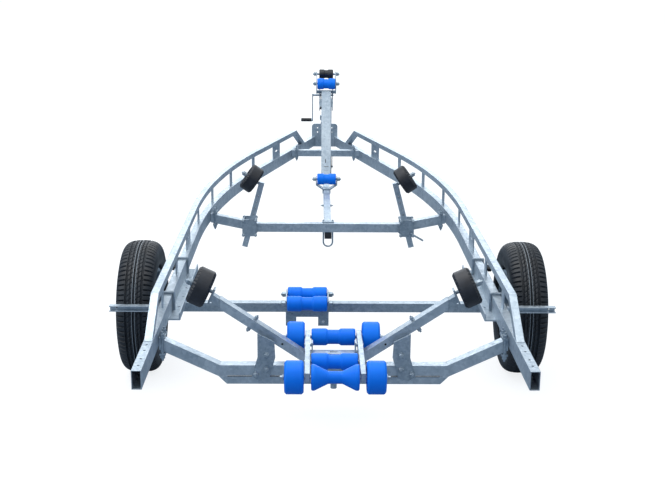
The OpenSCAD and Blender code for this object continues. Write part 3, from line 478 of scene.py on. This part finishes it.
def turned(name, outline, joint, surface, body, stands_for=(), turns=72, soft=0.002, ribs=0):
    """A turned piece on the axis of a joint, from a closed outline of (along, radius) in metres."""
    centre, axis = place(joint)
    section = rounded(outline, soft)
    points = turned_points(section, centre, axis, turns, ribs)
    return piece(name, points, ring_quads(turns, len(section), True), surface, body, stands_for)


def waisted(radius, neck, length):
    """Section of a keel roller: full radius at its ends, a narrower neck over its middle third."""
    e, s = length / 2, length / 6
    return [(-e, SPINDLE_BORE), (-e, radius - 0.005), (-e + 0.005, radius), (-s, radius), (-s + 0.008, neck),
            (s - 0.008, neck), (s, radius), (e - 0.005, radius), (e, radius - 0.005), (e, SPINDLE_BORE)]


KEEL_ROLLERS = {  # radius, neck, length
    "cradle_roller_front": (0.039, 0.033, 0.2), "cradle_roller_middle": (0.037, 0.031, 0.2),
    "mid_roller_front": (0.0375, 0.032, 0.196), "mid_roller_rear": (0.0375, 0.032, 0.196),
    "front_keel_roller": (0.04, 0.035, 0.136), "bow_roller": (0.042, 0.036, 0.138)}
for node, size in KEEL_ROLLERS.items():
    turned(node + "_moulded", waisted(*size), node + "_spin", blue, node, [node])
turned("bow_stop_moulded", waisted(0.036, 0.031, 0.108), "bow_stop_roller_spin", black_rubber,
       "bow_stop_roller", ["bow_stop_roller"])

def two_ended(half):
    """A whole section from the points of its right half: the same points, mirrored, come first."""
    return [(-u, r) for u, r in half[::-1]] + half


guide = two_ended([(0.028, 0.026), (0.086, 0.055), (0.096, 0.055), (0.1, 0.051), (0.1, SPINDLE_BORE)])
turned("cradle_roller_rear_moulded", guide, "cradle_roller_rear_spin", blue, "cradle_roller_rear",
       ["cradle_roller_rear"], soft=0.006)

CRADLE_WHEELS = ["cradle_wheel_" + end + side for end in ("front_", "rear_") for side in ("left", "right")]
dished = two_ended([(0.032, 0.07), (0.04, 0.062), (0.04, 0.056), (0.032, 0.052), (0.033, 0.02),
                    (0.04, 0.018), (0.04, SPINDLE_BORE)])
for node in CRADLE_WHEELS:
    turned(node + "_moulded", dished, node + "_spin", blue, node, [node], turns=96)

SIDE_ROLLERS = [end + "_side_roller_" + side for end in ("front", "rear") for side in ("left", "right")]
drum = two_ended([(0.03, 0.085), (0.04, 0.075), (0.04, 0.06), (0.026, 0.056), (0.026, 0.024),
                  (0.034, 0.022), (0.034, SPINDLE_BORE)])
for node in SIDE_ROLLERS:
    turned(node + "_moulded", drum, node + "_spin", black_rubber, node, [node],
           turns=120, ribs=30)
print("turned", len(KEEL_ROLLERS) + 2 + len(CRADLE_WHEELS) + len(SIDE_ROLLERS), "rollers")

# %% [markdown]
# Tread is the one part of a tyre that a bump cannot fake, because it shows on the outline. The
# skin is a grid: one parameter runs round the wheel, the other across it. Where a groove passes,
# the point is moved towards the axle. Five grooves run round the tyre, two of them fine, and
# slots cut the shoulders and, in a slant, the ribs between.

# %% Tyres
TYRE_RADIUS = (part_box("tyre_left")[1][2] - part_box("tyre_left")[0][2]) / 2
TYRE_HALF_WIDTH = (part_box("tyre_left")[1][0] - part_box("tyre_left")[0][0]) / 2
BEAD_RADIUS = 0.18
GROOVE_DEPTH = 0.007
BLOCKS = 80
TYRE_TURNS = 800
WALL_THICKNESS = 0.013
BLOCK_PITCH = 2 * np.pi * TYRE_RADIUS / BLOCKS


def step_in(value, half_width, soft=0.0012):
    """1 inside a band of that half width round zero, 0 outside it, with soft edges."""
    return np.clip((half_width - np.abs(value)) / soft + 0.5, 0, 1)


def tyre_points(centre):
    """Section point at a: radius = mid + h*cos(a)^0.6, across = w*sin(a)^0.75, keeping the sign of
    each, with a from -126 to 126 degrees, then back inside it by the wall. Grooves lower the
    radius where the distance to their middle line is less than their half width."""
    mid = (TYRE_RADIUS + BEAD_RADIUS) / 2
    h, w = (TYRE_RADIUS - BEAD_RADIUS) / 2, TYRE_HALF_WIDTH
    crown = np.linspace(-0.94, 0.94, 80)
    a = np.sign(crown) * np.arcsin(np.abs(crown) ** (1 / 0.75))
    wall = np.radians(np.linspace(83, 126, 10))
    a = np.concatenate([-wall[::-1], a, wall])
    across = w * np.sign(np.sin(a)) * np.abs(np.sin(a)) ** 0.75
    radius = mid + h * np.sign(np.cos(a)) * np.abs(np.cos(a)) ** 0.6
    inside = np.radians(np.linspace(120, -120, 14))
    inner_across = (w - WALL_THICKNESS) * np.sign(np.sin(inside)) * np.abs(np.sin(inside)) ** 0.75
    inner_radius = mid + (h - WALL_THICKNESS) * np.sign(np.cos(inside)) * np.abs(np.cos(inside)) ** 0.6
    across, radius = np.concatenate([across, inner_across]), np.concatenate([radius, inner_radius])
    turn = np.linspace(0, 2 * np.pi, TYRE_TURNS, endpoint=False)[:, None]
    block = turn * BLOCKS / (2 * np.pi)
    x = across[None, :]
    near = np.abs((block + 0.5) % 1 - 0.5) * BLOCK_PITCH
    slant = np.abs((block + x / 0.03 + 0.25) % 1 - 0.5) * BLOCK_PITCH
    round_cut = (step_in(x, 0.003) + step_in(np.abs(x) - 0.036, 0.0035)
                 + 0.6 * step_in(np.abs(x) - 0.018, 0.0012))
    shoulder_cut = step_in(near, 0.0024, 0.002) * (np.abs(x) > 0.044)
    rib_cut = 0.5 * step_in(slant, 0.0018, 0.002) * (np.abs(x) > 0.008) * (np.abs(x) < 0.031)
    skin = np.arange(len(across))[None, :] < len(a)
    fade = np.clip((0.084 - np.abs(x)) / 0.006, 0, 1)
    depth = GROOVE_DEPTH * np.maximum(np.maximum(round_cut, shoulder_cut), rib_cut) * fade * skin
    wall_ring = 0.0015 * step_in(radius[None, :] - 0.262, 0.004) * (np.abs(x) > 0.08) * skin
    r = radius[None, :] - depth
    side_ways = x * (1 - wall_ring / w)
    points = np.stack([side_ways + 0 * turn, r * np.cos(turn), r * np.sin(turn)], axis=-1)
    return points.reshape(-1, 3) + centre, len(across)


for side in ("left", "right"):
    centre, _ = place("wheel_" + side + "_spin")
    points, around = tyre_points(centre)
    piece("tread_" + side, points, ring_quads(TYRE_TURNS, around, True), tyre_rubber, "wheel_" + side,
          ["tyre_" + side])
print("two tyres of", TYRE_TURNS * around, "faces each")

# %% [markdown]
# A bolted trailer is mostly read by its nuts. One nut is a stack of twelve-point rings: washer,
# six-sided body, chamfer and the end of the stud. Whole rows of nuts are placed at once by
# turning and shifting that one stack, and each row becomes one joined mesh.


# %% Nuts
def nut_stack(across, stud):
    """Rings of one nut: the six-sided ring has radius (across/2) / cos(b), where b is the angle to
    the nearest flat, and every other ring is round."""
    angle = np.arange(12) * np.pi / 6
    six = across / 2 / np.cos((angle + np.pi / 6) % (np.pi / 3) - np.pi / 6)
    flat = np.full(12, across / 2)
    rings = [(0, flat * 1.2), (across * 0.1, flat * 1.2), (across * 0.1, six), (across * 0.75, six),
             (across * 0.85, flat * 0.92), (across * 0.85, flat * 0.58), (across * 0.85 + stud, flat * 0.52)]
    return np.array([np.column_stack([r * np.cos(angle), r * np.sin(angle), np.full(12, z)])
                     for z, r in rings]).reshape(-1, 3), len(rings)


def nuts(name, spots, axes, across, body, surface=None, stud=0.006):
    """Nuts at many spots, each with its own outward axis, as one mesh."""
    stack, rings = nut_stack(across, stud)
    spots = np.asarray(spots, float).reshape(-1, 3)
    axes = np.broadcast_to(np.asarray(axes, float), spots.shape)
    turns = np.array([basis(axis / np.linalg.norm(axis)) for axis in axes])
    points = np.einsum("pk,nkc->npc", stack, turns) + spots[:, None, :]
    quads = ring_quads(rings, 12, False)
    caps = np.array([np.arange(11, -1, -1), np.arange(12) + 12 * (rings - 1)])
    faces = [face + 12 * rings * n for n in range(len(spots)) for face in (*quads, *caps)]
    return piece(name, points.reshape(-1, 3), faces, surface or dull_zinc, body)


def mirrored(spots):
    """Each spot with its twin on the other side of the trailer."""
    spots = np.asarray(spots, float).reshape(-1, 3)
    return np.concatenate([spots, spots * [-1, 1, 1]])


BACK, FORWARD, UP, DOWN = (0, -1, 0), (0, 1, 0), (0, 0, 1), (0, 0, -1)
REAR_BEAM_Y = middle("rear_crossbeam", 1)
FRONT_BEAM_Y = middle("front_crossbeam", 1)
NOSE_BEAM_Y = middle("nose_crossbeam", 1)
AXLE_Y = middle("axle_beam", 1)
RAIL_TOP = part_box("rail_left")[1][2]
RAIL_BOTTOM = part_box("rail_left")[0][2]
RAIL_HALF = 0.02
RAIL_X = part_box("rail_right")[1][0] - RAIL_HALF
BEAM_HALF = 0.025

LOW_TOP = RAIL_BOTTOM - 0.093  # top of the low middle of the rear crossbeam
BRACKET_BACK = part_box("v_beam_brackets")[0][1]
V_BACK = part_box("v_beam")[0][1]
POST_X, POST_Z = 0.498, RAIL_TOP - 0.119
BRACKET_BOLTS = [(0.296, -0.013), (0.344, -0.038)]  # from the middle, and from LOW_TOP
BRACKET_TOP_BOLT = (0.295, 0.053)
nuts("bracket_nuts", mirrored([(x, BRACKET_BACK, LOW_TOP + z) for x, z in (*BRACKET_BOLTS, BRACKET_TOP_BOLT)]),
     BACK, 0.022, "frame")
nuts("bracket_nuts_front", mirrored([(x, REAR_BEAM_Y + BEAM_HALF, LOW_TOP + z) for x, z in BRACKET_BOLTS]),
     FORWARD, 0.022, "frame")
post_studs = [(POST_X + x, 0, POST_Z + z) for x in (-0.0385, 0.0385) for z in (-0.037, 0.054)]
nuts("post_nuts_back", mirrored(post_studs) + [0, FRONT_BEAM_Y - 0.0686, 0], BACK, 0.017, "frame")
nuts("post_nuts_front", mirrored(post_studs) + [0, FRONT_BEAM_Y + 0.0333, 0], FORWARD, 0.017, "frame")

CLAMP_STUDS = [  # beam, distance from the middle, top of the top plate, underside of the bottom plate
    (REAR_BEAM_Y, 0.751, 0.3973, 0.3127), (FRONT_BEAM_Y, 0.7166, 0.4183, 0.3327),
    (NOSE_BEAM_Y, 0.233, 0.4423, 0.3757)]
for end, rise in (("top", UP), ("under", DOWN)):
    spots = [(x, y + s * 0.032, top if end == "top" else under)
             for y, x, top, under in CLAMP_STUDS for s in (-1, 1)]
    nuts("clamp_nuts_" + end, mirrored(spots), rise, 0.018, "frame", stud=0.01)
ubolt_legs = [(RAIL_X + s * 0.0263, AXLE_Y + y, RAIL_BOTTOM - 0.0082)
              for s in (-1, 1) for y in (-0.15, 0.455)]
nuts("axle_plate_nuts", mirrored(ubolt_legs), DOWN, 0.02, "frame", stud=0.018)

spindle_ends = []
for name, half in (("mid_roller_front", 0.106), ("mid_roller_rear", 0.106), ("front_keel_roller", 0.078),
                   ("bow_roller", 0.077), ("bow_stop_roller", 0.077)):
    centre, axis = place(name + "_spin")
    spindle_ends += [(centre + s * half * axis, s * axis) for s in (-1, 1)]
for name in SIDE_ROLLERS:
    centre, axis = place(name + "_spin")
    spindle_ends.append((centre + 0.0471 * axis, axis))
nuts("spindle_nuts", [spot for spot, _ in spindle_ends], [axis for _, axis in spindle_ends], 0.024, "frame")
cradle_axle_z = place("cradle_roller_front_spin")[0][2]
cradle_ends = [(s * 0.217, place("cradle_roller_" + end + "_spin")[0][1], cradle_axle_z)
               for s in (-1, 1) for end in ("front", "rear")]
nuts("cradle_nuts", cradle_ends, [(math.copysign(1, x), 0, 0) for x, _, _ in cradle_ends], 0.014, "cradle",
     stud=0.001)
WHEEL_NUTS, NUT_CIRCLE = 5, 0.056
for side, out in (("left", -1), ("right", 1)):
    hub, _ = place("wheel_" + side + "_spin")
    angles = np.arange(WHEEL_NUTS) * 2 * np.pi / WHEEL_NUTS
    circle = hub + np.column_stack([np.full(WHEEL_NUTS, out * 0.024), NUT_CIRCLE * np.cos(angles),
                                    NUT_CIRCLE * np.sin(angles)])
    nuts("wheel_nuts_" + side, circle, (out, 0, 0), 0.019, "wheel_" + side, surface=dark_bolts)

# %% [markdown]
# A few small plates and rods finish the frame: dark discs of painted shade in the holes of the V beam's
# arms, a dark rod of painted shade along the seam at the top of the rear stiffener, pads beside the rails,
# and on the winch post a bung, a thin dark sheet of painted shade in a slot, and a blank plate. A slab is
# a rounded outline in its own plane with a thin chamfer at both faces: four rings and two caps. A rod is a
# turned piece between two points. The last few nuts go on here too.


# %% Slabs and rods
def slab(name, width, length, thickness, centre, across, along, surface, body, slot, corner=0.006):
    """A plate whose rounded rectangle, width by length, lies on the two given directions. Its rings
    are at 0, c, t-c and t along the third direction, the outer two shrunk by the chamfer c."""
    outline = rounded([(-width / 2, -length / 2), (width / 2, -length / 2), (width / 2, length / 2),
                       (-width / 2, length / 2)], corner)
    chamfer = min(0.001, thickness / 4)
    across, along = np.asarray(across, float), np.asarray(along, float)
    normal = np.cross(across, along)
    shrink = 1 - 2 * chamfer / np.array([width, length])
    rings = [(0, shrink), (chamfer, 1), (thickness - chamfer, 1), (thickness, shrink)]
    points = np.concatenate([centre + (outline * k) @ np.array([across, along]) + z * normal
                             for z, k in rings])
    n = len(outline)
    caps = [np.arange(n - 1, -1, -1), np.arange(n) + 3 * n]
    return piece(name, points, [*ring_quads(4, n, False), *caps], surface, body)


def rod(name, start, end, radius, surface, body, slot, ends=0.0015, turns=32):
    """A round rod: rings of its radius between two slightly smaller end rings, with flat caps."""
    start, end = np.asarray(start, float), np.asarray(end, float)
    length = np.linalg.norm(end - start)
    section = np.array([(0, radius - ends), (ends, radius), (length - ends, radius),
                        (length, radius - ends)])
    points = turned_points(section, start, (end - start) / length, turns)
    quads = ring_quads(turns, 4, True)
    # Faces from the last ring back to the first would run inside the rod, so they are dropped.
    quads = quads[np.abs(quads % 4 - np.roll(quads % 4, 1, axis=1)).max(axis=1) == 1]
    caps = [np.arange(turns) * 4, (np.arange(turns) * 4 + 3)[::-1]]
    return piece(name, points, [*quads, *caps], surface, body)


ARM_SLOPE = math.radians(34)
ARM_HALF = 0.0253  # from an arm's middle line to just past its faces
ARM_BOLT_X, ARM_BOLT_Z = 0.3605, 0.4395
ARM_HOLE_X, ARM_HOLE_Z = 0.228, 0.352
HOLE_PROUD = 0.0006
arm_bolts = []
for out in (-1, 1):
    off_arm = np.array([-out * math.sin(ARM_SLOPE), 0, math.cos(ARM_SLOPE)])
    arm_bolts += [([out * ARM_BOLT_X, V_BACK + BEAM_HALF, ARM_BOLT_Z] + s * ARM_HALF * off_arm, s * off_arm)
                  for s in (-1, 1)]
nuts("arm_nuts", [spot for spot, _ in arm_bolts], [axis for _, axis in arm_bolts], 0.016, "frame")

for side, out in (("left", -1), ("right", 1)):
    # A thin dark disc on the rear face of each arm: painted shade inside the hole through the arm.
    hole = [(out * ARM_HOLE_X, V_BACK + s * HOLE_PROUD, ARM_HOLE_Z) for s in (-1, 1)]
    rod("arm_hole_shade_" + side, *hole, 0.005, black_plastic, "frame", "black_cap", ends=0.0003, turns=16)
nuts("keel_bracket_nut", [(-0.044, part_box("mid_keel_bracket")[0][1], 0.275)], BACK, 0.016, "frame")

drawbar_half = (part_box("drawbar")[1][0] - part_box("drawbar")[0][0]) / 2
nuts("drawbar_nuts", [(s * drawbar_half, 0.226, 0.296) for s in (-1, 1)], [(s, 0, 0) for s in (-1, 1)], 0.013,
     "frame", stud=0.01)
# A thin dark rod along the top of the rear stiffener's back: painted shade of the seam where it meets the
# crossbeam.
SEAM_SHADE_HALF = 0.47
seam_shade_z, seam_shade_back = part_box("rear_stiffener")[1][2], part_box("rear_stiffener")[0][1]
seam_shade_ends = [(s * SEAM_SHADE_HALF, seam_shade_back - 0.0005, seam_shade_z) for s in (-1, 1)]
rod("stiffener_seam_shade", *seam_shade_ends, 0.0035, dark_bolts, "frame", "galvanised_fittings", ends=0.001, turns=12)
PAD_Y = -1.755
for side, out in (("left", -1), ("right", 1)):
    slab("guard_pad_" + side, 0.03, 0.052, 0.018, (out * (RAIL_X + 0.0355), PAD_Y, RAIL_TOP - 0.02),
         (1, 0, 0), (0, 1, 0), black_plastic, "frame", "black_cap")

LEAN = math.radians(23)
POST_RISE = np.array([0, math.sin(LEAN), math.cos(LEAN)])
POST_BACK = np.array([0, -math.cos(LEAN), math.sin(LEAN)])
POST_FACE = 0.0362  # from the post's middle line to just past its faces
BUNG_RISE = 0.526
post_root = place("bow_roller_spin")[0] - 0.705 * POST_RISE - 0.045 * POST_BACK


def on_post(x, back, rise):
    """A point near the post: across, behind its middle line, and along it from its foot."""
    return post_root + np.array([x, 0, 0]) + back * POST_BACK + rise * POST_RISE


def on_post_back(name, size, x, rise, surface, slot, corner):
    """A small plate of (width, length, thickness), flat on the post's rear face."""
    slab(name, *size, on_post(x, POST_FACE, rise), (1, 0, 0), POST_RISE, surface, "frame", slot, corner=corner)


rod("post_bung", on_post(-POST_FACE, 0, BUNG_RISE), on_post(-0.047, 0, BUNG_RISE), 0.012, black_plastic,
    "frame", "black_cap")
# A thin dark sheet on the post's rear face: painted shade inside a slot in the post.
on_post_back("post_slot_shade", (0.005, 0.03, 0.0006), -0.004, 0.1, black_plastic, "black_cap", 0.002)
on_post_back("post_plate", (0.04, 0.036, 0.0012), 0.002, 0.045, zinc, "galvanised", 0.003)
on_post_back("post_plate_band", (0.036, 0.006, 0.0016), 0.002, 0.056, dark_bolts, "galvanised_fittings", 0.001)
print("bolts, pads and plates")

# %% [markdown]
# The winch is a drum with a large gear on its left cheek, turned by a small gear on the crank's
# shaft. Teeth are a radius that rises and falls with the angle. The crank ends in a black grip.


# %% Winch gears and grip
POINTS_PER_TOOTH = 8
GEAR_SHIFT = -0.041


def gear(name, teeth, root, tip, bore, half_width, joint, body):
    """A spur gear: radius = root + (tip - root) * tooth(angle), where tooth is a clipped cosine."""
    centre, axis = place(joint)
    turns = teeth * POINTS_PER_TOOTH
    angle = np.linspace(0, 2 * np.pi, turns, endpoint=False)
    tooth = np.clip(0.5 + 1.6 * np.cos(teeth * angle), 0, 1)
    outer = root + (tip - root) * tooth
    side, up, along = basis(axis)
    spoke = np.cos(angle)[:, None] * side + np.sin(angle)[:, None] * up
    rings = [(-half_width, np.full(turns, bore)), (-half_width, outer - 0.001), (-half_width + 0.001, outer),
             (half_width - 0.001, outer), (half_width, outer - 0.001), (half_width, np.full(turns, bore))]
    points = np.stack([centre + (GEAR_SHIFT + u) * along + r[:, None] * spoke for u, r in rings], axis=1)
    piece(name, points.reshape(-1, 3), ring_quads(turns, len(rings), True), dark_bolts, body)


gear("drum_gear", 44, 0.0432, 0.0468, 0.02, 0.003, "winch_drum_spin", "winch_drum")
gear("crank_gear", 11, 0.0096, 0.0127, 0.0081, 0.004, "winch_crank_turn", "winch_crank")
crank_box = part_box("winch_crank")
grip_axis_z = crank_box[0][2] + 0.013
grip_axis_y = place("winch_crank_turn")[0][1]
grip_ends = [(x, grip_axis_y, grip_axis_z) for x in (crank_box[0][0] + 0.0003, -0.111)]
rod("crank_grip", *grip_ends, 0.0136, black_plastic, "winch_crank", "black_cap", ends=0.004)
print("winch gears and grip")
